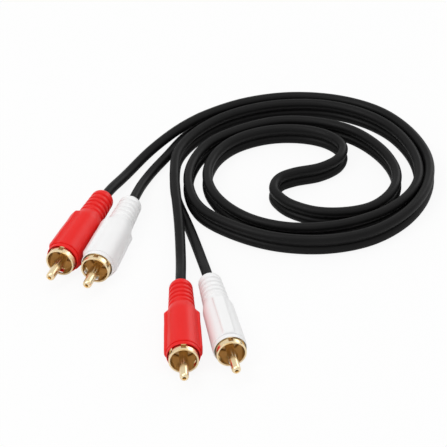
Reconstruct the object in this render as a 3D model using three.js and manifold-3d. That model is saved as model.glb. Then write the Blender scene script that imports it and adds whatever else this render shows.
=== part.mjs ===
import * as THREE from 'three';
import { mergeVertices } from 'three/addons/utils/BufferGeometryUtils.js';
import Module from 'manifold-3d';

const wasm = await Module();
wasm.setup();

// Stereo phono lead: one twin cable laid as a flat double spiral, its two ends split into
// single leads, and a moulded plug on each lead. Millimetres, +Z up, the lead lies on z = 0.
// The origin is on that surface, in the middle of the four plugs.

// Gap kept between pieces that touch on the real lead
const CLEARANCE = 0.3;

// Cable: two round strands joined by a thin web, standing on edge
const STRAND_RADIUS = 1.65;
const STRAND_SPACING = 3.75;
const WEB_HALF_THICKNESS = 0.5;
const STRAND_SIDES = 8;
const TWIN_STEPS = 80;
const LEAD_STEPS = 8;

// Boot: the soft cover moulded over each plug. Its front face is at 0 along the plug's axis
// and everything behind it is negative.
const BOOT_LENGTH = 34;
const ARC_FACETS = 8;
const REAR_RADIUS = 2.9;
const CONE_LENGTH = 1.9;
const NECK_REAR_RADIUS = 3.75;
const NECK_FRONT_RADIUS = 4.25;
const SHOULDER_SETBACK = 21;
const CORE_REAR_RADIUS = 4.96;
const CORE_FRONT_RADIUS = 5.35;
const CORE_LENGTH = 17;
const EDGE_ROUND = 0.35;
const PAD_HALF_HEIGHT = 1.9;
const PAD_REAR_HALF_WIDTH = 5.6;
const PAD_FRONT_HALF_WIDTH = 5.95;
const PAD_SETBACK = 19;
const PAD_RAMP = 1.2;
const GROOVE_COUNT = 4;
const GROOVE_FIRST_SETBACK = 30.6;
const GROOVE_PITCH = 2.2;
const GROOVE_HALF_WIDTH = 0.6;
const GROOVE_DEPTH = 0.4;
const NOSE_RADIUS = 5.25;
const NOSE_LENGTH = 1.6;

// Ground collar: the slotted cup round the pin, with a floor and a solder tab
const COLLAR_RADIUS = 4.65;
const COLLAR_WALL = 0.5;
const COLLAR_REACH = 3.7;
const COLLAR_SEAT_DEPTH = 6;
const COLLAR_FLOOR = 0.6;
const COLLAR_HOLE_RADIUS = 2.6;
const COLLAR_SIDES = 28;
const SLOT_WIDTH = 1.3;
const SLOT_SETBACK = 1;
const RIM_WIDTH = 0.65;
const TAB_HALF_WIDTH = 0.8;
const TAB_THICKNESS = 0.4;
const TAB_LENGTH = 6;

// Centre pin: a hollow pin with a rounded open tip and a solder cup behind
const PIN_RADIUS = 1.4;
const PIN_REACH = 12.1;
const PIN_TIP_ROUND = 1.1;
const TIP_HOLE_RADIUS = 0.55;
const TIP_HOLE_DEPTH = 2.5;
const PIN_TAIL_RADIUS = 1.1;
const PIN_TAIL_LENGTH = 6.1;
const SOLDER_CUP_RADIUS = 0.75;
const SOLDER_CUP_DEPTH = 3;
const PIN_SIDES = 16;

// Inside the boot
const INSULATOR_THICKNESS = 1.5;
const CHAMBER_FRONT_RADIUS = 3.6;
const CHAMBER_REAR_RADIUS = 3.2;
const CHAMBER_SETBACK = 19.7;
const CORE_RADIUS = 0.35;
const CORE_COVER_RADIUS = 0.85;
const SHIELD_RADIUS = 0.4;
const INNER_SIDES = 12;

const RED = 0xe0302a;
const WHITE = 0xf0f0ee;
const JACKET = 0x17181a;
const GOLD = 0xd9b26a;
const COPPER = 0xb8704a;
const NATURAL_PLASTIC = 0xe8e2d0;
const DARK_PLASTIC = 0x2a2622;

// Where the middle of each boot's front face stands over the floor
const BACK_RED_PLACE = [-26, 13.5];
const BACK_WHITE_PLACE = [-15, 9.8];
const FRONT_RED_PLACE = [12.2, -34.4];
const FRONT_WHITE_PLACE = [26.2, -31.9];

// Each plug: its place, its heading in degrees to the right of straight towards the viewer, its
// roll about its own axis and the turn of its collar's slots, both in degrees to the left. A roll
// of 37.5 degrees rests on a pad's edge and on the round core, one of 90 degrees on the flat pad.
const PLUGS = [
  { name: 'back_red', color: RED, place: BACK_RED_PLACE, heading: -20, roll: -37.5, slots: 58 },
  { name: 'back_white', color: WHITE, place: BACK_WHITE_PLACE, heading: -16.5, roll: -37.5, slots: 0 },
  { name: 'front_red', color: RED, place: FRONT_RED_PLACE, heading: 2, roll: 0, slots: 58 },
  { name: 'front_white', color: WHITE, place: FRONT_WHITE_PLACE, heading: 10.7, roll: 90, slots: 0 },
];
const SLOT_ANGLES = [0, 58, 180, 238];

// The twin's route over the floor, from the split of the back pair to the split of the front pair
const TWIN_ROUTE = [
  [17.4, 89.5], [31.4, 97.5], [47.4, 101], [63.9, 99], [77.4, 92], [86.9, 80], [91.9, 65],
  [90.4, 50], [83.4, 36.5], [71.9, 26.5], [56.9, 22], [40.4, 23.5], [25.9, 30.5], [17.4, 39],
  [13.9, 50], [14.4, 61.5], [19.9, 73.5], [29.9, 82], [43.4, 87], [56.9, 86], [67.9, 81],
  [76.9, 70.5], [80.9, 59.5], [80.4, 51], [76.9, 44], [71.4, 39], [62.9, 36.5], [53.9, 37],
  [45.9, 41], [42.4, 45], [40.9, 48.5], [41.4, 52.5], [43.4, 55.5], [47.9, 58], [55.9, 60.5],
  [61.4, 64.5], [63.4, 68], [63.9, 72], [62.4, 75.5], [57.9, 79.5], [49.9, 82], [39.4, 81.5],
  [29.4, 77], [22.9, 70], [19.4, 60.5], [19.9, 50.5], [24.9, 40.5], [33.9, 32.5], [45.9, 28.5],
  [60.4, 29.5], [74.9, 36], [83.9, 45.5], [87.9, 55.5], [86.9, 68.5], [80.9, 82.5], [70.9, 91.5],
  [57.4, 96.5], [40.9, 96], [25.9, 90], [15.4, 80.5], [9.4, 69.5], [8.4, 58],
];

// The single leads between the split and the plug, as places with their height
const LEAD_ROUTES = {
  back_red: [[13.1, 86.3, 5.35], [6.5, 80.3, 4.5], [-0.1, 73.2, 2.8], [-5.9, 63.6, 2.4], [-8.9, 57.5, 2.7]],
  back_white: [[12.7, 84.8, 1.65], [6.8, 74.5, 1.65], [1.4, 64.5, 1.75], [-2.4, 54.5, 2.6]],
  front_red: [[8.5, 51.5, 5.3], [9.4, 41.5, 5], [10.2, 31.5, 4], [10.7, 20.5, 3], [11, 9.5, 3]],
  front_white: [[9.1, 48.5, 1.65], [12, 37.5, 1.65], [15.2, 26.5, 1.65], [17.6, 15.5, 1.9], [18.8, 7.5, 3]],
};

const LEAD_SETBACK = CHAMBER_SETBACK - CLEARANCE;
const HOLE_RADIUS = STRAND_RADIUS + CLEARANCE;
const SOCKET_RADIUS = COLLAR_RADIUS + CLEARANCE;
const PAD_LENGTH = PAD_SETBACK - PAD_RAMP;
const TAB_HEIGHT = COLLAR_HOLE_RADIUS;

function asMesh(name, geometry, color, metalness, roughness) {
  const material = new THREE.MeshStandardMaterial({ color, metalness, roughness });
  const mesh = new THREE.Mesh(geometry, material);
  mesh.name = name;
  return mesh;
}

// A welded copy of a closed geometry, its faces turned outwards
function closed(geometry) {
  const bare = geometry.clone();
  for (const key of Object.keys(bare.attributes)) {
    if (key !== 'position') bare.deleteAttribute(key);
  }
  const welded = mergeVertices(bare, 1e-4);
  const position = welded.getAttribute('position');
  const source = welded.getIndex().array;
  const kept = [];
  let volume = 0;
  const [a, b, c] = [new THREE.Vector3(), new THREE.Vector3(), new THREE.Vector3()];
  for (let i = 0; i < source.length; i += 3) {
    const [p, q, r] = [source[i], source[i + 1], source[i + 2]];
    if (p === q || q === r || r === p) continue;
    kept.push(p, q, r);
    a.fromBufferAttribute(position, p);
    b.fromBufferAttribute(position, q);
    c.fromBufferAttribute(position, r);
    volume += a.dot(b.cross(c));
  }
  if (volume < 0) kept.reverse();
  const result = new THREE.BufferGeometry();
  result.setAttribute('position', position);
  result.setIndex(kept);
  result.computeVertexNormals();
  return result;
}

function toSolid(geometry) {
  const welded = closed(geometry);
  return new wasm.Manifold(new wasm.Mesh({
    numProp: 3,
    vertProperties: new Float32Array(welded.getAttribute('position').array),
    triVerts: new Uint32Array(welded.getIndex().array),
  }));
}

function fromSolid(solid) {
  const mesh = solid.getMesh();
  const geometry = new THREE.BufferGeometry();
  geometry.setAttribute('position', new THREE.BufferAttribute(mesh.vertProperties, 3));
  geometry.setIndex(new THREE.BufferAttribute(mesh.triVerts, 1));
  return geometry;
}

// A turned piece on the plug's axis, its profile given as [along the axis, radius] pairs
function turned(profile, sides) {
  const points = profile.map(([along, radius]) => new THREE.Vector2(radius, along));
  return closed(new THREE.LatheGeometry(points, sides));
}

// A hollow turned piece: its profile closes on itself
function turnedTube(profile, sides) {
  return turned([...profile, profile[0]], sides);
}

function box(width, length, height, x, along, z) {
  return new THREE.BoxGeometry(width, length, height).translate(x, along, z);
}

// One ring of points across the boot: a circle, or with a pad width, a circle with a flat pad
// standing out on each side. Both have the same number of points.
function bootRing(along, radius, padHalfWidth = 0) {
  const half = [];
  const join = padHalfWidth ? Math.asin(PAD_HALF_HEIGHT / radius) : Math.PI / 8;
  if (padHalfWidth) {
    half.push([padHalfWidth, -PAD_HALF_HEIGHT], [padHalfWidth, PAD_HALF_HEIGHT]);
  } else {
    const corner = join / 3;
    half.push([radius * Math.cos(corner), -radius * Math.sin(corner)]);
    half.push([radius * Math.cos(corner), radius * Math.sin(corner)]);
  }
  for (let i = 0; i <= ARC_FACETS; i++) {
    const angle = join + ((Math.PI - 2 * join) * i) / ARC_FACETS;
    half.push([radius * Math.cos(angle), radius * Math.sin(angle)]);
  }
  const ring = [];
  for (const side of [1, -1]) {
    for (const [x, z] of half) ring.push(side * x, along, side * z);
  }
  return ring;
}

// A skin over rings of points that ends where it began, so it encloses a wall
function loftLoop(rings) {
  const count = rings[0].length / 3;
  const index = [];
  for (let i = 0; i < rings.length; i++) {
    const next = (i + 1) % rings.length;
    for (let j = 0; j < count; j++) {
      const k = (j + 1) % count;
      index.push(i * count + j, i * count + k, next * count + k);
      index.push(i * count + j, next * count + k, next * count + j);
    }
  }
  const geometry = new THREE.BufferGeometry();
  geometry.setAttribute('position', new THREE.Float32BufferAttribute(rings.flat(), 3));
  geometry.setIndex(index);
  return closed(geometry);
}

function neckRadius(along) {
  const start = -BOOT_LENGTH + CONE_LENGTH;
  const share = (along - start) / (-SHOULDER_SETBACK - start);
  return THREE.MathUtils.lerp(NECK_REAR_RADIUS, NECK_FRONT_RADIUS, share);
}

// The ribbed strain relief: a short cone, then a neck with ring grooves
function neckRings() {
  const rings = [];
  const round = (along, radius) => rings.push(bootRing(along, radius));
  round(-BOOT_LENGTH, REAR_RADIUS);
  round(-BOOT_LENGTH + 0.5 * CONE_LENGTH, THREE.MathUtils.lerp(REAR_RADIUS, NECK_REAR_RADIUS, 0.7));
  round(-BOOT_LENGTH + CONE_LENGTH, NECK_REAR_RADIUS);
  for (let i = 0; i < GROOVE_COUNT; i++) {
    const middle = -GROOVE_FIRST_SETBACK + i * GROOVE_PITCH;
    for (const [shift, depth] of [[-1, 0], [-0.4, 1], [0.4, 1], [1, 0]]) {
      const along = middle + shift * GROOVE_HALF_WIDTH;
      round(along, neckRadius(along) - depth * GROOVE_DEPTH);
    }
  }
  round(-SHOULDER_SETBACK, NECK_FRONT_RADIUS);
  return rings;
}

function coreRadius(along) {
  if (along > -CORE_LENGTH) {
    return THREE.MathUtils.lerp(CORE_FRONT_RADIUS, CORE_REAR_RADIUS, along / -CORE_LENGTH);
  }
  const share = (along + SHOULDER_SETBACK) / (SHOULDER_SETBACK - CORE_LENGTH);
  return THREE.MathUtils.lerp(NECK_FRONT_RADIUS, CORE_REAR_RADIUS, Math.sin((share * Math.PI) / 2));
}

// The grip: a round core that widens behind the neck, with a flat pad on each side
function gripRings() {
  const rings = [];
  const rear = -PAD_LENGTH;
  const pad = (along) => THREE.MathUtils.lerp(PAD_FRONT_HALF_WIDTH, PAD_REAR_HALF_WIDTH, along / rear);
  rings.push(bootRing(-PAD_SETBACK - PAD_RAMP / 2, coreRadius(-PAD_SETBACK - PAD_RAMP / 2)));
  rings.push(bootRing(-PAD_SETBACK, coreRadius(-PAD_SETBACK)));
  for (const along of [rear, -CORE_LENGTH, -CORE_LENGTH / 2, -EDGE_ROUND]) {
    rings.push(bootRing(along, coreRadius(along), pad(along)));
  }
  rings.push(bootRing(0, CORE_FRONT_RADIUS - EDGE_ROUND / 2, PAD_FRONT_HALF_WIDTH - EDGE_ROUND));
  return rings;
}

// The nose ring, the socket that holds the collar, the chamber and the hole for the lead
function boreRings() {
  const flats = Math.cos((3 * Math.PI) / (8 * ARC_FACETS));
  const profile = [
    [0, NOSE_RADIUS],
    [NOSE_LENGTH - CLEARANCE, NOSE_RADIUS],
    [NOSE_LENGTH, NOSE_RADIUS - CLEARANCE / 2],
    [NOSE_LENGTH, SOCKET_RADIUS / flats],
    [-COLLAR_SEAT_DEPTH - CLEARANCE, SOCKET_RADIUS / flats],
    [-COLLAR_SEAT_DEPTH - CLEARANCE, CHAMBER_FRONT_RADIUS / flats],
    [-CHAMBER_SETBACK, CHAMBER_REAR_RADIUS / flats],
    [-CHAMBER_SETBACK, HOLE_RADIUS / flats],
    [-BOOT_LENGTH, HOLE_RADIUS / flats],
  ];
  return profile.map(([along, radius]) => bootRing(along, radius));
}

function bootGeometry() {
  return loftLoop([...neckRings(), ...gripRings(), ...boreRings()]);
}

// Inner mould: a plug of harder plastic round the joints, open along one side for the solder tab
function innerMouldGeometry() {
  const front = -COLLAR_SEAT_DEPTH - 2 * CLEARANCE;
  const rear = -LEAD_SETBACK + CLEARANCE;
  const bore = PIN_TAIL_RADIUS + CLEARANCE;
  const body = toSolid(turnedTube([
    [rear, bore],
    [rear, CHAMBER_REAR_RADIUS - CLEARANCE],
    [front, CHAMBER_FRONT_RADIUS - CLEARANCE],
    [front, bore],
  ], INNER_SIDES * 2));
  const width = 2 * (TAB_HALF_WIDTH + CLEARANCE);
  const channel = box(width, 2 * CHAMBER_SETBACK, CHAMBER_FRONT_RADIUS, 0, rear, CHAMBER_FRONT_RADIUS / 2);
  return fromSolid(body.subtract(toSolid(channel)));
}

function collarGeometry(turn) {
  const rear = -COLLAR_SEAT_DEPTH;
  const inner = COLLAR_RADIUS - COLLAR_WALL;
  let cup = toSolid(turnedTube([
    [rear, COLLAR_HOLE_RADIUS],
    [rear, COLLAR_RADIUS],
    [COLLAR_REACH, COLLAR_RADIUS],
    [COLLAR_REACH, inner],
    [rear + COLLAR_FLOOR, inner],
    [rear + COLLAR_FLOOR, COLLAR_HOLE_RADIUS],
  ], COLLAR_SIDES));
  const slotFront = COLLAR_REACH - RIM_WIDTH;
  const slotLength = slotFront + SLOT_SETBACK;
  for (const angle of SLOT_ANGLES) {
    const slot = box(SLOT_WIDTH, slotLength, COLLAR_RADIUS, 0, slotFront - slotLength / 2, COLLAR_RADIUS);
    slot.rotateY(THREE.MathUtils.degToRad(turn - angle));
    cup = cup.subtract(toSolid(slot));
  }
  const tabEnd = rear - TAB_LENGTH;
  const tabLength = TAB_LENGTH + COLLAR_FLOOR;
  const tabMiddle = TAB_HEIGHT + TAB_THICKNESS / 2;
  const tab = box(2 * TAB_HALF_WIDTH, tabLength, TAB_THICKNESS, 0, tabEnd + tabLength / 2, tabMiddle);
  return fromSolid(cup.add(toSolid(tab)));
}

// Insulator: a flanged bush that centres the pin in the collar's floor
function insulatorGeometry() {
  const bore = PIN_RADIUS + CLEARANCE;
  const neck = COLLAR_HOLE_RADIUS - CLEARANCE;
  const flange = COLLAR_RADIUS - COLLAR_WALL - CLEARANCE;
  const seat = -COLLAR_SEAT_DEPTH + COLLAR_FLOOR + CLEARANCE;
  return turnedTube([
    [-COLLAR_SEAT_DEPTH, bore],
    [-COLLAR_SEAT_DEPTH, neck],
    [seat, neck],
    [seat, flange],
    [seat + INSULATOR_THICKNESS, flange],
    [seat + INSULATOR_THICKNESS, bore],
  ], INNER_SIDES * 2);
}

function pinGeometry() {
  const step = -COLLAR_SEAT_DEPTH;
  const tailEnd = step - PIN_TAIL_LENGTH;
  const profile = [
    [tailEnd + SOLDER_CUP_DEPTH, 0],
    [tailEnd + SOLDER_CUP_DEPTH, SOLDER_CUP_RADIUS],
    [tailEnd, SOLDER_CUP_RADIUS],
    [tailEnd, PIN_TAIL_RADIUS],
    [step, PIN_TAIL_RADIUS],
    [step, PIN_RADIUS],
  ];
  for (let i = 0; i <= 4; i++) {
    const angle = (Math.PI / 2) * (i / 4);
    const along = PIN_REACH - PIN_TIP_ROUND * (1 - Math.sin(angle));
    const radius = THREE.MathUtils.lerp(TIP_HOLE_RADIUS, PIN_RADIUS, Math.cos(angle));
    profile.push([along, radius]);
  }
  profile.push([PIN_REACH - TIP_HOLE_DEPTH, TIP_HOLE_RADIUS], [PIN_REACH - TIP_HOLE_DEPTH, 0]);
  return turned(profile, PIN_SIDES);
}

// Core wire: from the lead's end into the pin's solder cup
function coreWireGeometry() {
  const rear = -LEAD_SETBACK + CLEARANCE;
  const front = -COLLAR_SEAT_DEPTH - PIN_TAIL_LENGTH + SOLDER_CUP_DEPTH - CLEARANCE;
  return turned([[rear, 0], [rear, CORE_RADIUS], [front, CORE_RADIUS], [front, 0]], INNER_SIDES);
}

function coreCoverGeometry() {
  const rear = -LEAD_SETBACK + CLEARANCE;
  const front = -COLLAR_SEAT_DEPTH - PIN_TAIL_LENGTH - CLEARANCE;
  const bore = CORE_RADIUS + CLEARANCE;
  return turnedTube([
    [rear, bore], [rear, CORE_COVER_RADIUS], [front, CORE_COVER_RADIUS], [front, bore],
  ], INNER_SIDES);
}

// Extrudes a closed outline along a path
function swept(outline, path, steps) {
  return closed(new THREE.ExtrudeGeometry(outline, { steps, bevelEnabled: false, extrudePath: path }));
}

function roundOutline(radius, sides) {
  const outline = new THREE.Shape();
  for (let i = 0; i < sides; i++) {
    const angle = (2 * Math.PI * (i + 0.5)) / sides;
    outline[i ? 'lineTo' : 'moveTo'](radius * Math.cos(angle), radius * Math.sin(angle));
  }
  return outline;
}

// Shield: the lead's twisted outer strands, drawn aside and laid under the collar's solder tab
function shieldWireGeometry() {
  const low = CORE_COVER_RADIUS + CLEARANCE + SHIELD_RADIUS;
  const high = TAB_HEIGHT - CLEARANCE - SHIELD_RADIUS;
  const rear = -LEAD_SETBACK + CLEARANCE;
  const front = -COLLAR_SEAT_DEPTH - TAB_LENGTH / 2;
  const path = new THREE.CatmullRomCurve3([
    new THREE.Vector3(0, rear, low),
    new THREE.Vector3(0, THREE.MathUtils.lerp(rear, front, 0.3), low + 0.1),
    new THREE.Vector3(0, THREE.MathUtils.lerp(rear, front, 0.6), high),
    new THREE.Vector3(0, front, high),
  ]);
  return swept(roundOutline(SHIELD_RADIUS, STRAND_SIDES), path, 8);
}

function makePlug(plug) {
  const group = new THREE.Group();
  const { degToRad } = THREE.MathUtils;
  const onPad = plug.roll === 90;
  const front = onPad ? PAD_FRONT_HALF_WIDTH : CORE_FRONT_RADIUS;
  const drop = front - (onPad ? PAD_REAR_HALF_WIDTH : CORE_REAR_RADIUS);
  const lift = Math.atan2(drop, onPad ? PAD_LENGTH : CORE_LENGTH);
  group.position.set(...plug.place, front * Math.cos(lift));
  group.rotation.order = 'ZXY';
  group.rotation.set(lift, degToRad(plug.roll), Math.PI + degToRad(plug.heading));
  const add = (piece, geometry, color, metalness, roughness) => {
    group.add(asMesh(`${plug.name}_${piece}`, geometry, color, metalness, roughness));
  };
  add('boot', bootGeometry(), plug.color, 0, 0.4);
  add('inner_mould', innerMouldGeometry(), NATURAL_PLASTIC, 0, 0.6);
  add('ground_collar', collarGeometry(plug.slots - plug.roll), GOLD, 1, 0.2);
  add('insulator', insulatorGeometry(), DARK_PLASTIC, 0, 0.5);
  add('centre_pin', pinGeometry(), GOLD, 1, 0.2);
  add('core_wire', coreWireGeometry(), COPPER, 1, 0.4);
  add('core_cover', coreCoverGeometry(), NATURAL_PLASTIC, 0, 0.6);
  add('shield_wire', shieldWireGeometry(), COPPER, 1, 0.4);
  group.updateMatrixWorld(true);
  return group;
}

// The route of the twin: the spline through its points, stepped more closely where it bends more
class TwinPath extends THREE.CatmullRomCurve3 {
  constructor(points) {
    super(points, false, 'centripetal');
  }

  getSpacedPoints(divisions) {
    const fine = super.getPoints(40 * divisions);
    const effort = [0];
    for (let i = 1; i < fine.length; i++) {
      const before = fine[Math.max(i - 1, 0)];
      const after = fine[Math.min(i + 1, fine.length - 1)];
      const here = fine[i];
      const into = here.clone().sub(before);
      const out = after.clone().sub(here);
      const turn = out.lengthSq() > 0 ? into.angleTo(out) : 0;
      effort.push(effort[i - 1] + into.length() + 9 * turn);
    }
    const total = effort[effort.length - 1];
    const spaced = [];
    let at = 0;
    for (let i = 0; i <= divisions; i++) {
      const wanted = (total * i) / divisions;
      while (at < fine.length - 1 && effort[at] < wanted - 1e-9) at++;
      spaced.push(fine[at]);
    }
    return spaced;
  }

  // Frames follow the stations chosen above; the section stays upright on the flat route
  computeFrenetFrames(segments) {
    const stations = this.getSpacedPoints(segments);
    const up = new THREE.Vector3(0, 0, 1);
    const frames = { tangents: [], normals: [], binormals: [] };
    for (let i = 0; i <= segments; i++) {
      const before = stations[Math.max(i - 1, 0)];
      const after = stations[Math.min(i + 1, segments)];
      const tangent = after.clone().sub(before).normalize();
      frames.tangents.push(tangent);
      frames.normals.push(up.clone());
      frames.binormals.push(tangent.clone().cross(up));
    }
    return frames;
  }
}

const TWIN_HEIGHT = STRAND_RADIUS + STRAND_SPACING / 2;
const twinPath = new TwinPath(TWIN_ROUTE.map(([x, y]) => new THREE.Vector3(x, y, TWIN_HEIGHT)));

// Figure of eight on its side: x of the outline stands upright after the sweep
function twinOutline() {
  const points = [];
  const open = Math.asin(WEB_HALF_THICKNESS / STRAND_RADIUS);
  for (const side of [1, -1]) {
    for (let i = 0; i <= STRAND_SIDES; i++) {
      const angle = -Math.PI + open + ((2 * Math.PI - 2 * open) * i) / STRAND_SIDES;
      const x = STRAND_SPACING / 2 + STRAND_RADIUS * Math.cos(angle);
      points.push(new THREE.Vector2(side * x, side * STRAND_RADIUS * Math.sin(angle)));
    }
  }
  return new THREE.Shape(points);
}

function makeTwin() {
  return asMesh('twin_cable', swept(twinOutline(), twinPath, TWIN_STEPS), JACKET, 0, 0.5);
}

// A place on a plug's own axis, seen from the floor
function onPlugAxis(group, along) {
  return new THREE.Vector3(0, along, 0).applyMatrix4(group.matrixWorld);
}

// One single lead: from the twin's split, through its chosen places, into the boot's hole
function makeLead(plug, group) {
  const atBack = plug.name.startsWith('back');
  const route = twinPath.points;
  const edge = atBack ? route[0] : route[route.length - 1];
  const inner = atBack ? route[1] : route[route.length - 2];
  const away = edge.clone().sub(inner).normalize();
  const lift = (plug.name.endsWith('red') ? 1 : -1) * STRAND_SPACING / 2;
  const start = edge.clone().addScaledVector(away, CLEARANCE).add(new THREE.Vector3(0, 0, lift));
  const points = [
    start,
    start.clone().addScaledVector(away, STRAND_RADIUS),
    ...LEAD_ROUTES[plug.name].map((place) => new THREE.Vector3(...place)),
    onPlugAxis(group, -BOOT_LENGTH - 4),
    onPlugAxis(group, -BOOT_LENGTH - 0.5),
    onPlugAxis(group, -BOOT_LENGTH + 4),
    onPlugAxis(group, -LEAD_SETBACK),
  ];
  const path = new THREE.CatmullRomCurve3(points, false, 'centripetal');
  const outline = roundOutline(STRAND_RADIUS, STRAND_SIDES);
  return asMesh(`${plug.name}_lead`, swept(outline, path, LEAD_STEPS * 2), JACKET, 0, 0.5);
}

const lead = new THREE.Group();
lead.add(makeTwin());
for (const plug of PLUGS) {
  const group = makePlug(plug);
  lead.add(group);
  lead.add(makeLead(plug, group));
}

export default lead;
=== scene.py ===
"""Stereo phono lead: a black twin cable in a flat double spiral, with four moulded plugs.

Row frame in metres, +Z up, the lead lies on z = 0. Plug shapes are worked out in millimetres
on the plug's own axes: x across, t forward from the boot's front face, z up.
"""

from math import atan2, cos, pi, radians, sin

import bpy
import numpy as np
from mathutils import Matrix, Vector


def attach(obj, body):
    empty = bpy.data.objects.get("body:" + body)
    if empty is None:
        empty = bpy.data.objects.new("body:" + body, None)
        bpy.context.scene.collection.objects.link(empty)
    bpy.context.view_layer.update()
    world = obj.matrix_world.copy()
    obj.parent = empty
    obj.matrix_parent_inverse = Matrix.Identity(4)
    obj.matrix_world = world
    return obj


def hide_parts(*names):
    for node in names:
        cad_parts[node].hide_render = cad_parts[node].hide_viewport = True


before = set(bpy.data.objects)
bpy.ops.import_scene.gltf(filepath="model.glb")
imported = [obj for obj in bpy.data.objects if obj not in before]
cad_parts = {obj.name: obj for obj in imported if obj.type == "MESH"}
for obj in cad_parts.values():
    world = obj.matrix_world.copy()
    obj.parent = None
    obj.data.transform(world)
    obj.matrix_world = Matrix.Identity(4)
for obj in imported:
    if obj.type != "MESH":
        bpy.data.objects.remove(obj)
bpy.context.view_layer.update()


# Twin cable
# Two strands of wire, each in a round jacket of soft black vinyl, drawn through one die so that
# a thin web joins them. It stands on edge, one strand above the other, and runs from the split
# of the back pair once round outside, in to the middle, back out and to the front pair's split.
MM = 0.001
STRAND_RADIUS = 1.65 * MM
STRAND_SPACING = 3.75 * MM
WEB_HALF = 0.5 * MM
STRAND_POINTS = 22
TWIN_STEP = 0.9 * MM
SPAN_POINTS = 16
TWIN_HEIGHT = STRAND_RADIUS + STRAND_SPACING / 2
TWIN_ROUTE = [
    (17.4, 89.5), (31.4, 97.5), (47.4, 101), (63.9, 99), (77.4, 92), (86.9, 80), (91.9, 65),
    (90.4, 50), (83.4, 36.5), (71.9, 26.5), (56.9, 22), (40.4, 23.5), (25.9, 30.5), (17, 38.8),
    (13.2, 50), (13.8, 61.8), (19.4, 73.9), (29.9, 82), (43.4, 87), (56.9, 86), (67.9, 81),
    (76.9, 70.5), (80.9, 59.5), (80.4, 51), (76.9, 44), (71.4, 39), (62.9, 36.5), (53.9, 37),
    (45.9, 41), (42.4, 45), (40.9, 48.5), (41.4, 52.5), (43.4, 55.5), (47.9, 58), (55.9, 60.5),
    (61.4, 64.5), (63.4, 68), (63.9, 72), (62.4, 75.5), (57.9, 79.5), (49.9, 82), (39.4, 81.5),
    (29.4, 77), (22.9, 70), (19.4, 60.5), (19.9, 50.5), (24.9, 40.5), (33.9, 32.5), (45.9, 28.5),
    (60.4, 29.5), (74.9, 36), (84.2, 45.3), (88.3, 55.5), (87.4, 68.7), (80.9, 82.5),
    (70.9, 91.5), (57.4, 96.5), (40.9, 96), (25.9, 90), (15.4, 80.5), (9.4, 69.5), (8.4, 58),
]
# The first places of the white leads beyond the two splits, which give the twin its direction
BEFORE_ROUTE = (12.4, 84.5)
AFTER_ROUTE = (9, 47.5)
GRAIN_HEIGHT = 0.1 * MM
GRAIN_DRIFT_SCALE = 160
TONE_SCALE = 120
NOISE_MEAN = 0.5
SHARP_ANGLE = 40


def spline(points, per_span):
    """Centripetal Catmull-Rom curve: between two points it is their cubic Hermite curve, whose
    slopes weigh the neighbouring spans by the square root of their length. The first and last
    span have a neighbour of their own length in a straight line."""
    p = np.asarray(points, float)
    p = np.vstack([2 * p[0] - p[1], p, 2 * p[-1] - p[-2]])
    a, b, c, d = p[:-3], p[1:-2], p[2:-1], p[3:]
    knots = np.linalg.norm(np.diff(p, axis=0), axis=1)[:, None] ** 0.5
    t0, t1, t2 = knots[:-2], knots[1:-1], knots[2:]
    leave = ((b - a) / t0 - (c - a) / (t0 + t1) + (c - b) / t1) * t1
    arrive = ((c - b) / t1 - (d - b) / (t1 + t2) + (d - c) / t2) * t1
    s = np.linspace(0, 1, per_span, endpoint=False)[:, None, None]
    curve = (2 * s**3 - 3 * s**2 + 1) * b + (s**3 - 2 * s**2 + s) * leave
    curve = curve + (3 * s**2 - 2 * s**3) * c + (s**3 - s**2) * arrive
    return np.vstack([curve.swapaxes(0, 1).reshape(-1, 3), p[-2:-1]])


def evenly(path, step):
    """The same path with its points a step apart, each at its share of the whole length."""
    along = np.r_[0, np.cumsum(np.linalg.norm(np.diff(path, axis=0), axis=1))]
    stations = np.linspace(0, along[-1], max(2, round(along[-1] / step) + 1))
    return np.column_stack([np.interp(stations, along, axis) for axis in path.T])


def carried(path, outline):
    """Grid of a closed outline carried along a path: path + u * side + v * up, where side is
    level and square to the path, and up is square to both."""
    along = np.gradient(path, axis=0)
    along /= np.linalg.norm(along, axis=1)[:, None]
    side = np.cross(along, (0, 0, 1))
    side /= np.linalg.norm(side, axis=1)[:, None]
    up = np.cross(side, along)
    u, v = outline.T[:, None, :, None]
    return path[:, None] + u * side[:, None] + v * up[:, None]


def grid_faces(rings, sides, loop=False):
    """Corners of the cell between rings i and i + 1 and sides j and j + 1, for every i and j.
    The last side is joined to the first, and with loop the last ring to the first as well."""
    i = np.arange(rings if loop else rings - 1)[:, None]
    j = np.arange(sides)
    here, ahead, beside = i * sides, (i + 1) % rings * sides, (j + 1) % sides
    return np.stack([here + j, ahead + j, ahead + beside, here + beside], axis=-1).reshape(-1, 4)


def make_object(name, points, faces, material, sharp_angle=SHARP_ANGLE):
    """A smooth-shaded mesh at the frame's origin, with edges sharp above the angle in degrees."""
    mesh = bpy.data.meshes.new(name)
    mesh.from_pydata(points.reshape(-1, 3).tolist(), [], faces)
    mesh.validate()
    mesh.shade_smooth()
    mesh.set_sharp_from_angle(angle=radians(sharp_angle))
    mesh.materials.append(material)
    obj = bpy.data.objects.new(name, mesh)
    bpy.context.scene.collection.objects.link(obj)
    return obj


def capped_tube(name, grid, material, sharp_angle=SHARP_ANGLE):
    """The grid's cells as faces, with the first and the last ring closed by one face each."""
    rings, sides = grid.shape[:2]
    faces = grid_faces(rings, sides).tolist()
    faces.append(list(range(sides)))
    faces.append(list(range((rings - 1) * sides, rings * sides))[::-1])
    return make_object(name, grid, faces, material, sharp_angle)


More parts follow.
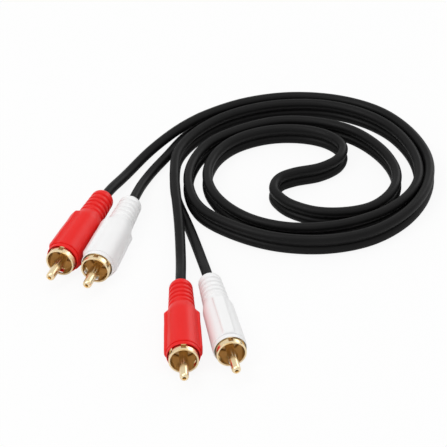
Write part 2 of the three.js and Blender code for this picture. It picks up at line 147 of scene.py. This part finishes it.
def moulding_grain():
    """Node group of a moulded or drawn skin: fine noise raises the bump, and slow noise less
    its mean, times the spread, is added to the roughness."""
    group = bpy.data.node_groups.new("moulding_grain", "ShaderNodeTree")
    sockets = group.interface
    for label in ("Scale", "Roughness", "Spread", "Depth"):
        sockets.new_socket(label, in_out="INPUT", socket_type="NodeSocketFloat")
    sockets.new_socket("Roughness", in_out="OUTPUT", socket_type="NodeSocketFloat")
    sockets.new_socket("Normal", in_out="OUTPUT", socket_type="NodeSocketVector")
    nodes, links = group.nodes, group.links
    entry = nodes.new("NodeGroupInput")
    leave = nodes.new("NodeGroupOutput")
    place = nodes.new("ShaderNodeTexCoord")
    fine = nodes.new("ShaderNodeTexNoise")
    slow = nodes.new("ShaderNodeTexNoise")
    slow.inputs["Scale"].default_value = GRAIN_DRIFT_SCALE
    centred = nodes.new("ShaderNodeMath")
    centred.operation = "SUBTRACT"
    centred.inputs[1].default_value = NOISE_MEAN
    spread = nodes.new("ShaderNodeMath")
    spread.operation = "MULTIPLY_ADD"
    bump = nodes.new("ShaderNodeBump")
    bump.inputs["Distance"].default_value = GRAIN_HEIGHT
    links.new(place.outputs["Object"], fine.inputs["Vector"])
    links.new(place.outputs["Object"], slow.inputs["Vector"])
    links.new(entry.outputs["Scale"], fine.inputs["Scale"])
    links.new(fine.outputs["Fac"], bump.inputs["Height"])
    links.new(entry.outputs["Depth"], bump.inputs["Strength"])
    links.new(slow.outputs["Fac"], centred.inputs[0])
    links.new(centred.outputs["Value"], spread.inputs[0])
    links.new(entry.outputs["Spread"], spread.inputs[1])
    links.new(entry.outputs["Roughness"], spread.inputs[2])
    links.new(spread.outputs["Value"], leave.inputs["Roughness"])
    links.new(bump.outputs["Normal"], leave.inputs["Normal"])
    return group


GRAIN = moulding_grain()


def finish_material(name, dark, light, roughness, spread, depth, scale, metallic=0, **settings):
    """A Principled BSDF with the grain group. Its base colour is dark + noise * (light - dark),
    and any further setting is the value of the shader's input of that name."""
    material = bpy.data.materials.new(name)
    material.use_nodes = True
    nodes, links = material.node_tree.nodes, material.node_tree.links
    shader = nodes["Principled BSDF"]
    shader.inputs["Metallic"].default_value = metallic
    for label, value in settings.items():
        shader.inputs[label.replace("_", " ")].default_value = value
    place = nodes.new("ShaderNodeTexCoord")
    cloud = nodes.new("ShaderNodeTexNoise")
    cloud.inputs["Scale"].default_value = TONE_SCALE
    tone = nodes.new("ShaderNodeMix")
    tone.data_type = "RGBA"
    tone.inputs["A"].default_value = (*dark, 1)
    tone.inputs["B"].default_value = (*light, 1)
    grain = nodes.new("ShaderNodeGroup")
    grain.node_tree = GRAIN
    grain.inputs["Scale"].default_value = scale
    grain.inputs["Roughness"].default_value = roughness
    grain.inputs["Spread"].default_value = spread
    grain.inputs["Depth"].default_value = depth
    links.new(place.outputs["Object"], cloud.inputs["Vector"])
    links.new(cloud.outputs["Fac"], tone.inputs["Factor"])
    links.new(tone.outputs["Result"], shader.inputs["Base Color"])
    links.new(grain.outputs["Roughness"], shader.inputs["Roughness"])
    links.new(grain.outputs["Normal"], shader.inputs["Normal"])
    return material


JACKET = finish_material(
    "jacket", dark=(0.0040, 0.0040, 0.0042), light=(0.0075, 0.0073, 0.0073),
    roughness=0.42, spread=0.16, depth=0.3, scale=1400, Specular_IOR_Level=0.14)

# One strand is a circle that is left open at the web, and the other is the same turned over
web_angle = np.arcsin(WEB_HALF / STRAND_RADIUS)
strand_angle = np.linspace(web_angle - pi, pi - web_angle, STRAND_POINTS)
strand_u = -STRAND_RADIUS * np.sin(strand_angle)
strand_v = STRAND_SPACING / 2 + STRAND_RADIUS * np.cos(strand_angle)
strand_half = np.column_stack([strand_u, strand_v])
twin_places = np.array([BEFORE_ROUTE, *TWIN_ROUTE, AFTER_ROUTE]) * MM
twin_points = np.column_stack([twin_places, np.full(len(twin_places), TWIN_HEIGHT)])
twin_path = evenly(spline(twin_points, SPAN_POINTS)[SPAN_POINTS:-SPAN_POINTS], TWIN_STEP)
twin_outline = np.vstack([strand_half, -strand_half])
twin = capped_tube("twin_cable_surface", carried(twin_path, twin_outline), JACKET)
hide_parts("twin_cable")
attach(twin, "root")


# Single leads
# At each end the web is cut for a few centimetres, and each strand goes on alone to its plug.
# The lead starts over the end of its strand and ends on its plug's axis, inside the boot.
LEAD_ROUTES = {
    "back_red": [
        (13.1, 86.3, 5.3), (9.8, 83.3, 4.95), (6.5, 80.3, 4.4), (3.2, 76.8, 3.6),
        (-0.1, 73.2, 2.9), (-5.9, 63.6, 2.4), (-9, 57.7, 2.7),
    ],
    "back_white": [
        (12.4, 84.5, 1.65), (8.8, 78.5, 1.65), (6.5, 73.2, 1.65), (3.4, 68.1, 1.65),
        (1.3, 64.2, 1.7), (-1.1, 58.7, 2), (-3, 53.2, 2.7),
    ],
    "front_red": [(8.5, 51.5, 5.3), (9.4, 41.5, 5), (10.2, 31.5, 4), (10.7, 20.5, 3), (11, 9.5, 3)],
    "front_white": [
        (9, 47.5, 1.65), (10.5, 43, 1.65), (12.1, 37.5, 1.65), (13.8, 31.5, 1.65),
        (15.2, 25.8, 1.8), (16.6, 19.2, 2.5), (17.7, 13.2, 3.5), (18.4, 9.4, 4.3),
    ],
}
# Where the middle of each boot's front face stands, in mm, the plug's heading in degrees from
# straight forward, and the roll of its boot and the turn of its collar's slots in degrees to
# the viewer's left. A boot that is rolled by 90 degrees lies on one of its flat pads.
PLUGS = {
    "back_red": dict(x=-26, y=13.5, heading=-20, roll=-37.5, slots=58, upper=True, back=True),
    "back_white": dict(x=-15, y=9.8, heading=-16.5, roll=-37.5, slots=0, upper=False, back=True),
    "front_red": dict(x=12.2, y=-34.4, heading=2, roll=0, slots=58, upper=True, back=False),
    "front_white": dict(x=26.2, y=-31.9, heading=10.7, roll=90, slots=0, upper=False, back=False),
}
ON_PAD = 90
BOOT_LENGTH = 34
CLEARANCE = 0.3
CHAMBER_SETBACK = 19.7
GRIP_REAR = -17
GRIP_RADII = (4.96, 5.35)
PAD_REAR = -17.8
PAD_WIDTHS = (5.6, 5.95)
LEAD_STATIONS = (-BOOT_LENGTH - 4, -BOOT_LENGTH - 0.5, -BOOT_LENGTH + 4, CLEARANCE - CHAMBER_SETBACK)
OVERLAP_STEPS = 3
HELD_AT_SPLIT = 2
# A lead is this much thicker than its strand, so that it covers the strand where they overlap
LEAD_SWELL = 1.006
LEAD_POINTS = 28
EASING_ROUNDS = 40


def placed(plug, grid, rolled=False):
    """Points on a plug's own axes, in mm, as points of the row frame in metres: rolled about
    the plug's axis if asked, tilted so that the tapered grip lies on the floor, raised by its
    front radius, and turned to the heading."""
    x, t, z = np.moveaxis(np.asarray(grid, float), -1, 0)
    if rolled:
        roll = radians(plug["roll"])
        x, z = x * cos(roll) + z * sin(roll), z * cos(roll) - x * sin(roll)
    rear, front = PAD_WIDTHS if plug["roll"] == ON_PAD else GRIP_RADII
    tilt = atan2(front - rear, -PAD_REAR if plug["roll"] == ON_PAD else -GRIP_REAR)
    ahead = t * cos(tilt) - z * sin(tilt)
    height = t * sin(tilt) + z * cos(tilt) + front * cos(tilt)
    turn = pi + radians(plug["heading"])
    east = plug["x"] + x * cos(turn) - ahead * sin(turn)
    north = plug["y"] + x * sin(turn) + ahead * cos(turn)
    return np.stack([east, north, height], axis=-1) * MM


def eased(path, held_start, held_end):
    """The path with each point moved to the mean of itself, twice, and its two neighbours, over
    and over, except for the points held at either end."""
    path = path.copy()
    first, last = held_start, len(path) - held_end
    for _ in range(EASING_ROUNDS):
        before, after = path[first - 1 : last - 1], path[first + 1 : last + 1]
        path[first:last] = (before + 2 * path[first:last] + after) / 4
    return path


def lead_paths(name, plug):
    """The lead's own path from the split, and the same with a start over its strand."""
    strand = twin_path if plug["back"] else twin_path[::-1]
    nearest = twin_points[1:3] if plug["back"] else twin_points[-2:-4:-1]
    raised = np.array((0, 0, STRAND_SPACING / 2 if plug["upper"] else -STRAND_SPACING / 2))
    into_plug = placed(plug, [(0, t, 0) for t in LEAD_STATIONS])
    route = np.vstack([nearest[::-1] + raised, np.array(LEAD_ROUTES[name]) * MM, into_plug])
    path = evenly(spline(route, SPAN_POINTS)[SPAN_POINTS:], TWIN_STEP)
    inside = round((BOOT_LENGTH + LEAD_STATIONS[-1]) * MM / TWIN_STEP) + 1
    path = eased(path, HELD_AT_SPLIT, inside)
    covered = strand[OVERLAP_STEPS:0:-1] + raised
    return path, np.vstack([covered, path])


lead_angle = np.linspace(0, 2 * pi, LEAD_POINTS, endpoint=False)
lead_outline = LEAD_SWELL * STRAND_RADIUS * np.column_stack([np.cos(lead_angle), np.sin(lead_angle)])
for name, plug in PLUGS.items():
    path, shown_path = lead_paths(name, plug)
    lead = capped_tube(f"{name}_lead_surface", carried(shown_path, lead_outline), JACKET)
    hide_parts(f"{name}_lead")
    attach(lead, "root")


# Centre pins
# The signal contact: brass turned on a lathe, bored at the back for the soldered core wire, with
# a rounded and open tip, and plated with gold. It is pressed into the insulator.
PIN_RADIUS = 1.4
PIN_REACH = 12.1
PIN_ROUND = 1.1
PIN_MOUTH = 0.6
PIN_BORE_DEPTH = 2.5
SHANK_REAR = -5
SHANK_RINGS = 12
TIP_RINGS = 9
PIN_SIDES = 48
# The profile in the solder cup's bore and up to the shank, and that of the bore behind the mouth
SOLDER_CUP = [(-9.1, 0.02), (-9.1, 0.75), (-12.1, 0.75), (-12.1, 1.1), (-6, 1.1), (-6, PIN_RADIUS)]
TIP_BORE = [
    (PIN_REACH - 0.08, 0.55), (PIN_REACH - PIN_BORE_DEPTH, 0.52), (PIN_REACH - PIN_BORE_DEPTH, 0.02),
]
CONTACT_SHARP_ANGLE = 35
GOLD = finish_material(
    "contact", dark=(0.95, 0.76, 0.46), light=(0.98, 0.81, 0.53),
    roughness=0.23, spread=0.06, depth=0.03, scale=700, metallic=1)


def turned(profile, sides):
    """Grid of a turned piece: each (t, radius) pair of the profile is carried round the axis, as
    the points (radius * cos a, t, radius * sin a)."""
    t, radius = np.asarray(profile, float).T[..., None]
    angle = np.linspace(0, 2 * pi, sides, endpoint=False)
    return np.stack(np.broadcast_arrays(radius * np.cos(angle), t, radius * np.sin(angle)), axis=-1)


tip_angle = np.linspace(0, pi / 2, TIP_RINGS)[1:]
tip_t = PIN_REACH - PIN_ROUND + PIN_ROUND * np.sin(tip_angle)
tip_radius = PIN_MOUTH + (PIN_RADIUS - PIN_MOUTH) * np.cos(tip_angle)
shank_t = np.linspace(SHANK_REAR, PIN_REACH - PIN_ROUND, SHANK_RINGS)
pin_profile = np.vstack([
    SOLDER_CUP,
    np.column_stack([shank_t, np.full(len(shank_t), PIN_RADIUS)]),
    np.column_stack([tip_t, tip_radius]),
    TIP_BORE,
])
for name, plug in PLUGS.items():
    grid = placed(plug, turned(pin_profile, PIN_SIDES))
    pin = capped_tube(f"{name}_pin_surface", grid, GOLD, CONTACT_SHARP_ANGLE)
    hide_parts(f"{name}_centre_pin")
    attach(pin, "root")


# Insulators
# A bush of hard golden-brown plastic that fills the back of the collar round the pin and holds
# the two contacts apart. It is pressed in against the collar's floor.
BUSH_PROFILE = [
    (-6, 1.7), (-6, 2.3), (-5.1, 2.3), (-5.1, 3.85),
    (-3.75, 3.85), (-3.6, 3.7), (-3.6, 1.8), (-3.7, 1.7),
]
BUSH_SIDES = 48
BUSH_PLASTIC = finish_material(
    "insulator", dark=(0.93, 0.64, 0.33), light=(0.97, 0.70, 0.40),
    roughness=0.45, spread=0.1, depth=0.1, scale=900)

for name, plug in PLUGS.items():
    grid = placed(plug, turned(BUSH_PROFILE, BUSH_SIDES))
    faces = grid_faces(len(BUSH_PROFILE), BUSH_SIDES, loop=True)
    bush = make_object(
        f"{name}_insulator_surface", grid, faces.tolist(), BUSH_PLASTIC, CONTACT_SHARP_ANGLE)
    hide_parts(f"{name}_insulator")
    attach(bush, "root")


# Ground collars
# A cup drawn from thin brass and plated with gold, which grips the outside of the socket. Slots
# cut through its wall behind the rim let it spring, and its floor has a hole for the pin.
COLLAR_RADIUS = 4.65
COLLAR_WALL = 0.5
COLLAR_REACH = 3.7
SEAT_DEPTH = 6
FLOOR_THICKNESS = 0.6
FLOOR_HOLE = 2.6
FLOOR_RADIUS = 4.3
SLOT_ANGLES = (90, 148, 270, 328)
SLOT_WIDTH = 1.5
SLOT_SPAN = (0.9, 3.05)
WALL_STATIONS = (-SEAT_DEPTH, -5.4, -3, -1, *SLOT_SPAN, 3.45, COLLAR_REACH)
WALL_COLUMNS = 144
FLOOR_SIDES = 64
EDGE_ROUND = 0.09
EDGE_SEGMENTS = 3
EDGE_ANGLE = radians(50)
FLOOR_FRONT = FLOOR_THICKNESS - SEAT_DEPTH
FLOOR_PROFILE = [
    (-SEAT_DEPTH, FLOOR_HOLE), (-SEAT_DEPTH, FLOOR_RADIUS),
    (FLOOR_FRONT, FLOOR_RADIUS), (FLOOR_FRONT, FLOOR_HOLE),
]


def collar_wall(turn):
    """Points and faces of the slotted wall. Two tubes of cells, (r cos a, t, r sin a) at the
    outer and the inner radius, leave out each cell whose middle lies within half a slot's width
    of a slot. Each edge of a kept cell at a missing one, or at either end of the tubes, gets a
    face across the wall."""
    slots = np.radians(np.array(SLOT_ANGLES) - turn)
    half = SLOT_WIDTH / 2 / COLLAR_RADIUS
    even = np.linspace(0, 2 * pi, WALL_COLUMNS, endpoint=False)
    angle = np.unique(np.round(np.r_[even, np.r_[slots - half, slots + half] % (2 * pi)], 6))
    stations = np.array(WALL_STATIONS)
    ahead = np.r_[angle[1:], angle[0] + 2 * pi]
    middle = (angle + ahead) / 2
    apart = np.abs((middle[:, None] - slots + pi) % (2 * pi) - pi).min(axis=1)
    within = (stations[:-1] >= SLOT_SPAN[0]) & (stations[:-1] < SLOT_SPAN[1])
    missing = within[:, None] & (apart < half)

    radius = np.array((COLLAR_RADIUS, COLLAR_RADIUS - COLLAR_WALL))[:, None, None]
    x, z = radius * np.cos(angle), radius * np.sin(angle)
    points = np.stack(np.broadcast_arrays(x, stations[:, None], z), axis=-1).reshape(-1, 3)
    across = len(stations) * len(angle)

    corner = np.arange(across).reshape(len(stations), len(angle))
    a, d = corner[:-1], corner[1:]
    b, c = np.roll(a, -1, axis=1), np.roll(d, -1, axis=1)
    end = np.ones((1, len(angle)), bool)
    behind, before = np.vstack([end, missing[:-1]]), np.vstack([missing[1:], end])
    left, right = np.roll(missing, 1, axis=1), np.roll(missing, -1, axis=1)
    faces = [np.stack([d, c, b, a], axis=-1)[~missing]]
    faces.append(np.stack([a, b, c, d], axis=-1)[~missing] + across)
    for p, q, beside in ((a, b, behind), (b, c, right), (c, d, before), (d, a, left)):
        edge = ~missing & beside
        faces.append(np.column_stack([p[edge], q[edge], q[edge] + across, p[edge] + across]))
    return points, np.vstack(faces)


for name, plug in PLUGS.items():
    points, faces = collar_wall(plug["slots"])
    faces = np.vstack([faces, grid_faces(len(FLOOR_PROFILE), FLOOR_SIDES, loop=True) + len(points)])
    points = np.vstack([points, turned(FLOOR_PROFILE, FLOOR_SIDES).reshape(-1, 3)])
    collar = make_object(
        f"{name}_collar_surface", placed(plug, points), faces.tolist(), GOLD, CONTACT_SHARP_ANGLE)
    bevel = collar.modifiers.new("edges", "BEVEL")
    bevel.width = EDGE_ROUND * MM
    bevel.segments = EDGE_SEGMENTS
    bevel.limit_method = "ANGLE"
    bevel.angle_limit = EDGE_ANGLE
    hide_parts(f"{name}_ground_collar")
    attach(collar, "root")


# Inner moulds and wires
# Behind the contacts the stripped lead is soldered on: a copper core wire in its own natural
# plastic cover, and the twisted shield wire. A harder natural moulding holds these joints.
NATURAL = finish_material(
    "inner_mould", dark=(0.74, 0.7, 0.58), light=(0.82, 0.78, 0.66),
    roughness=0.5, spread=0.1, depth=0.2, scale=900)
COPPER = finish_material(
    "wire", dark=(0.7, 0.35, 0.2), light=(0.8, 0.45, 0.28),
    roughness=0.35, spread=0.1, depth=0.2, scale=2500, metallic=1)
INNER_FINISHES = {
    "inner_mould": NATURAL, "core_cover": NATURAL, "core_wire": COPPER, "shield_wire": COPPER,
}
for name in PLUGS:
    for piece, material in INNER_FINISHES.items():
        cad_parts[f"{name}_{piece}"].material_slots[0].material = material


# Boots
# A soft vinyl cover that is moulded over each plug, red or white: a ribbed neck that lets the
# lead bend, a round grip with a flat pad on each side, and a short nose round the collar. Its
# outside, its seat for the collar and its chamber for the inner mould are one closed skin.
SHOULDER = -21
NECK_TIP_RADIUS = 2.9
NECK_RADII = (3.75, 4.25)
CONE_END = -32.2
GROOVES = [(-30.6, 0.6), (-28.4, 0.6), (-26.2, 0.6), (-24, 0.6), (-21.9, 0.35)]
GROOVE_WIDTH = 0.42
NECK_STEP = 0.12
SHOULDER_SECTIONS = 6
RAMP_SECTIONS = 10
GRIP_SECTIONS = 6
FRONT_SECTIONS = 9
PAD_HALF_HEIGHT = 1.9
PAD_EDGE = 0.75
PAD_FILLET = 0.3
PAD_FOOT = 0.12
PAD_RAMP = (-20, PAD_REAR - 0.3)
PAD_NOSE = 2.0
CURVE_POINTS = 5
FRONT_ROUND = 0.16
NOSE_RADIUS = 5.25
NOSE_LENGTH = 1.6
SOCKET_RADIUS = COLLAR_RADIUS + CLEARANCE
SOCKET_DEPTH = SEAT_DEPTH + CLEARANCE
LEAD_BORE = 1.95
CORE_POINTS = 44
BOOT_SHARP_ANGLE = 30
# The skin from the grip's front over the nose, into the seat and the chamber, and out at the neck
NOSE_AND_INSIDE = [
    (0, 5.05), (0.28, 5.05), (0.32, NOSE_RADIUS - 0.08), (0.42, NOSE_RADIUS), (1.25, NOSE_RADIUS),
    (1.45, NOSE_RADIUS - 0.05), (1.56, NOSE_RADIUS - 0.13), (NOSE_LENGTH, SOCKET_RADIUS + 0.03),
    (NOSE_LENGTH - 0.1, SOCKET_RADIUS), (-SOCKET_DEPTH, SOCKET_RADIUS), (-SOCKET_DEPTH, 3.6),
    (-CHAMBER_SETBACK, 3.2), (-CHAMBER_SETBACK, LEAD_BORE), (-BOOT_LENGTH + 0.3, LEAD_BORE),
    (-BOOT_LENGTH, LEAD_BORE + 0.1), (-BOOT_LENGTH, 2.6), (-BOOT_LENGTH + 0.03, 2.8),
]
RED = finish_material(
    "red_boot", dark=(0.76, 0.007, 0.005), light=(0.81, 0.011, 0.009),
    roughness=0.36, spread=0.08, depth=0.12, scale=900, Specular_IOR_Level=0.24)
WHITE = finish_material(
    "white_boot", dark=(0.86, 0.86, 0.86), light=(0.89, 0.89, 0.89),
    roughness=0.40, spread=0.08, depth=0.12, scale=900)


def neck_radius(t):
    """A quarter of an ellipse up to CONE_END, then a cone from the first neck radius to the
    second, less a groove with steep sides, depth * exp(-x ** 4), at each of the grooves' places."""
    tip = np.sin(pi / 2 * (t + BOOT_LENGTH) / (CONE_END + BOOT_LENGTH))
    tip = NECK_TIP_RADIUS + (NECK_RADII[0] - NECK_TIP_RADIUS) * tip
    cone = NECK_RADII[0] + (NECK_RADII[1] - NECK_RADII[0]) * (t - CONE_END) / (SHOULDER - CONE_END)
    middle, depth = np.array(GROOVES).T
    cut = (depth * np.exp(-(((t[:, None] - middle) / GROOVE_WIDTH) ** 4))).sum(axis=1)
    return np.where(t < CONE_END, tip, cone - cut)


def grip_radius(t):
    """A quarter of an ellipse from the neck to the grip's rear, then a cone to its front."""
    share = np.clip((t - SHOULDER) / (GRIP_REAR - SHOULDER), 0, 1)
    shoulder = NECK_RADII[1] + (GRIP_RADII[0] - NECK_RADII[1]) * np.sin(share * pi / 2)
    cone = GRIP_RADII[1] + (GRIP_RADII[0] - GRIP_RADII[1]) * t / GRIP_REAR
    return np.where(t > GRIP_REAR, cone, shoulder)


def boot_sections(t, radius, pad_width=PAD_WIDTHS[1], growth=0.0):
    """Grid of sections square to the boot's axis, one for each t. A section is a circle, of
    which the arc at each side moves, by growth from 0 to 1, to a flat pad: a curved foot that
    leaves the circle, an edge rounded by a quarter circle, a flat face, and the same again."""
    t, radius, width, growth = np.stack(np.broadcast_arrays(t, radius, pad_width, growth))[..., None]
    join = np.arcsin(PAD_HALF_HEIGHT / radius)
    start = join + PAD_FILLET
    u = np.linspace(0, 1, CURVE_POINTS)
    away = (1 - u) ** 2
    foot_x = away * radius * np.cos(start) + (1 - away) * radius * np.cos(join) + u * u * PAD_FOOT
    foot_z = -away * radius * np.sin(start) - (1 - away) * PAD_HALF_HEIGHT
    a = np.linspace(0, pi / 2, CURVE_POINTS)
    edge_x = width - PAD_EDGE + PAD_EDGE * np.sin(a)
    edge_z = np.broadcast_to(PAD_EDGE - PAD_HALF_HEIGHT - PAD_EDGE * np.cos(a), edge_x.shape)
    lower_x, lower_z = np.hstack([foot_x, edge_x]), np.hstack([foot_z, edge_z])
    pad_x = np.hstack([lower_x, width, lower_x[:, ::-1]])
    pad_z = np.hstack([lower_z, 0 * width, -lower_z[:, ::-1]])
    plain = start * np.linspace(-1, 1, pad_x.shape[1])
    side_x = (1 - growth) * radius * np.cos(plain) + growth * pad_x
    side_z = (1 - growth) * radius * np.sin(plain) + growth * pad_z
    top = start + (pi - 2 * start) * np.linspace(0, 1, CORE_POINTS + 2)[1:-1]
    half_x = np.hstack([side_x, radius * np.cos(top)])
    half_z = np.hstack([side_z, radius * np.sin(top)])
    x, z = np.hstack([half_x, -half_x]), np.hstack([half_z, -half_z])
    return np.stack([x, np.broadcast_to(t, x.shape), z], axis=-1)


def boot_grid():
    """Sections from the neck's end forward over the grip and nose, then back inside. The pads
    grow along their ramp by 3 s^2 - 2 s^3 and end in a quarter of an ellipse at the front."""
    neck_t = np.arange(-BOOT_LENGTH + 0.1, SHOULDER, NECK_STEP)
    shoulder_t = np.linspace(SHOULDER, PAD_RAMP[0], SHOULDER_SECTIONS)
    ramp_t = np.linspace(*PAD_RAMP, RAMP_SECTIONS)[1:]
    rear_t = np.r_[shoulder_t, ramp_t, GRIP_REAR - 0.5, GRIP_REAR, GRIP_REAR + 3]
    share = np.clip((rear_t - PAD_RAMP[0]) / (PAD_RAMP[1] - PAD_RAMP[0]), 0, 1)
    grip_t = np.linspace(GRIP_REAR + 6, -PAD_NOSE, GRIP_SECTIONS)
    grip_width = PAD_WIDTHS[1] + (PAD_WIDTHS[0] - PAD_WIDTHS[1]) * grip_t / PAD_REAR
    turn = np.linspace(0, pi / 2, FRONT_SECTIONS)[1:]
    front_t = PAD_NOSE * (np.sin(turn) - 1)
    front_radius = grip_radius(front_t) - FRONT_ROUND * (1 - np.cos(turn)) ** 3
    return np.vstack([
        boot_sections(neck_t, neck_radius(neck_t)),
        boot_sections(rear_t, grip_radius(rear_t), PAD_WIDTHS[0], share * share * (3 - 2 * share)),
        boot_sections(grip_t, grip_radius(grip_t), grip_width, 1),
        boot_sections(front_t, front_radius, PAD_WIDTHS[1], np.cos(turn)),
        boot_sections(*np.array(NOSE_AND_INSIDE).T),
    ])


for name, plug in PLUGS.items():
    colour, finish = ("red", RED) if name.endswith("red") else ("white", WHITE)
    grid = placed(plug, boot_grid(), rolled=True)
    faces = grid_faces(*grid.shape[:2], loop=True)
    boot = make_object(f"{name}_boot_surface", grid, faces.tolist(), finish, BOOT_SHARP_ANGLE)
    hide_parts(f"{name}_boot")
    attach(boot, "root")


# Camera
# A long lens 37.5 degrees above the floor, aimed near the middle of the whole lead, so that the
# coil and all four plugs fill the frame.
AIM = Vector((0.0244, 0.0375, 0.0))
CAMERA_DISTANCE = 1.0
CAMERA_ELEVATION = radians(37.5)
LENS_MM = 248.9
SENSOR_MM = 36

camera_data = bpy.data.cameras.new("camera")
camera_data.lens = LENS_MM
camera_data.sensor_width = SENSOR_MM
camera = bpy.data.objects.new("camera", camera_data)
toward = Vector((0, -cos(CAMERA_ELEVATION), sin(CAMERA_ELEVATION)))
camera.location = AIM + CAMERA_DISTANCE * toward
camera.rotation_euler = (pi / 2 - CAMERA_ELEVATION, 0, 0)
bpy.context.scene.collection.objects.link(camera)
bpy.context.scene.camera = camera


# Floor and surround
# A plain pale table, which takes the lead's soft shadow and is near white to the camera, in a
# studio whose walls are white to the camera and nearly so to the metal.
FLOOR_HALF = 3.0
FLOOR_SINK = 0.02 * MM
FLOOR_COLOUR = (0.86, 0.86, 0.86)
FLOOR_CAMERA_SHARE = 0.9
SURROUND_STRENGTH = 0.69
MIRRORED_STRENGTH = 0.95


def camera_white(name, colour, share):
    """A diffuse surface, of which the given share is a white glow to the camera alone."""
    material = bpy.data.materials.new(name)
    material.use_nodes = True
    nodes, links = material.node_tree.nodes, material.node_tree.links
    nodes.clear()
    leave = nodes.new("ShaderNodeOutputMaterial")
    diffuse = nodes.new("ShaderNodeBsdfDiffuse")
    diffuse.inputs["Color"].default_value = (*colour, 1)
    glow = nodes.new("ShaderNodeEmission")
    glow.inputs["Strength"].default_value = 1
    light_path = nodes.new("ShaderNodeLightPath")
    portion = nodes.new("ShaderNodeMath")
    portion.operation = "MULTIPLY"
    portion.inputs[1].default_value = share
    mix = nodes.new("ShaderNodeMixShader")
    links.new(light_path.outputs["Is Camera Ray"], portion.inputs[0])
    links.new(portion.outputs["Value"], mix.inputs["Fac"])
    links.new(diffuse.outputs["BSDF"], mix.inputs[1])
    links.new(glow.outputs["Emission"], mix.inputs[2])
    links.new(mix.outputs["Shader"], leave.inputs["Surface"])
    return material


floor_points = np.array([(-1, -1, 0), (1, -1, 0), (1, 1, 0), (-1, 1, 0)]) * FLOOR_HALF
table = camera_white("floor", FLOOR_COLOUR, FLOOR_CAMERA_SHARE)
floor = make_object("floor", floor_points, [(0, 1, 2, 3)], table)
floor.location.z = -FLOOR_SINK

world = bpy.data.worlds.new("studio")
world.use_nodes = True
nodes, links = world.node_tree.nodes, world.node_tree.links
surround = nodes["Background"]
surround.inputs["Color"].default_value = (1, 1, 1, 1)
surround.inputs["Strength"].default_value = SURROUND_STRENGTH
mirrored = nodes.new("ShaderNodeBackground")
mirrored.inputs["Strength"].default_value = MIRRORED_STRENGTH
open_white = nodes.new("ShaderNodeBackground")
open_white.inputs["Strength"].default_value = 1
for_mirrors = nodes.new("ShaderNodeMixShader")
for_camera = nodes.new("ShaderNodeMixShader")
world_path = nodes.new("ShaderNodeLightPath")
links.new(world_path.outputs["Is Glossy Ray"], for_mirrors.inputs["Fac"])
links.new(surround.outputs["Background"], for_mirrors.inputs[1])
links.new(mirrored.outputs["Background"], for_mirrors.inputs[2])
links.new(world_path.outputs["Is Camera Ray"], for_camera.inputs["Fac"])
links.new(for_mirrors.outputs["Shader"], for_camera.inputs[1])
links.new(open_white.outputs["Background"], for_camera.inputs[2])
links.new(for_camera.outputs["Shader"], nodes["World Output"].inputs["Surface"])
bpy.context.scene.world = world


# Lamps
# Three large soft panels turned to the middle of the picture: one above the coil, one low at the
# back right, which draws a light line along the jackets, and one at the front left.
def soft_lamp(name, place, size, power):
    """A rectangular panel at a place in metres, with its size in metres and power in watts."""
    data = bpy.data.lights.new(name, "AREA")
    data.shape = "RECTANGLE"
    data.size, data.size_y = size
    data.energy = power
    lamp = bpy.data.objects.new(name, data)
    lamp.location = place
    lamp.rotation_euler = (AIM - Vector(place)).to_track_quat("-Z", "Y").to_euler()
    bpy.context.scene.collection.objects.link(lamp)


soft_lamp("lamp_above", (0.02, 0.1, 0.9), (0.7, 0.5), 1.3)
soft_lamp("lamp_back_right", (0.5, 0.62, 0.33), (0.4, 0.35), 0.8)
soft_lamp("lamp_left", (-0.45, -0.25, 0.7), (0.4, 0.4), 1.8)
bpy.context.scene.view_settings.view_transform = "Standard"
